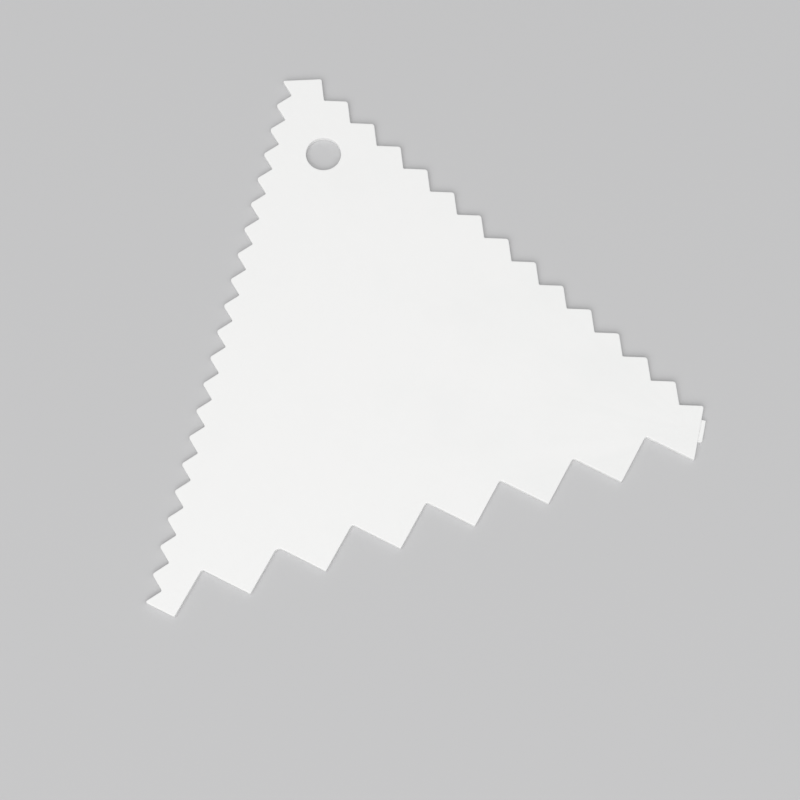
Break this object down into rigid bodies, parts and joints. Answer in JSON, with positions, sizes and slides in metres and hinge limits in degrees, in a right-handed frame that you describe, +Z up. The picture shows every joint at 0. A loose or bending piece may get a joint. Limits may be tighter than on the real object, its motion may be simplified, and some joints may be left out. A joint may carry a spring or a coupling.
{
  "type": "cake decorating comb",
  "caption": "Flat triangular cake comb in moulded white plastic, with a fine, a medium and a coarse toothed edge and a hanging hole near the top corner.",
  "frame": {"origin": "on the hanging hole's axis, in the plane of the bottom face that the comb lies on", "axes": "+Z up along the hanging hole's axis and square to the plate, +Y from the hole to the corner it is nearest to, +X along the coarse edge towards the medium edge, so seen from above the fine edge is on the -X side, the medium edge on the +X side and the coarse edge on the -Y side"},
  "size_m": [0.1027, 0.0904, 0.001],
  "materials": {
    "white_plastic": "white moulded plastic with a satin face and crisp moulded teeth"
  },
  "bodies": {
    "root": {"comb_plate": "white_plastic"}
  },
  "joints": []
}
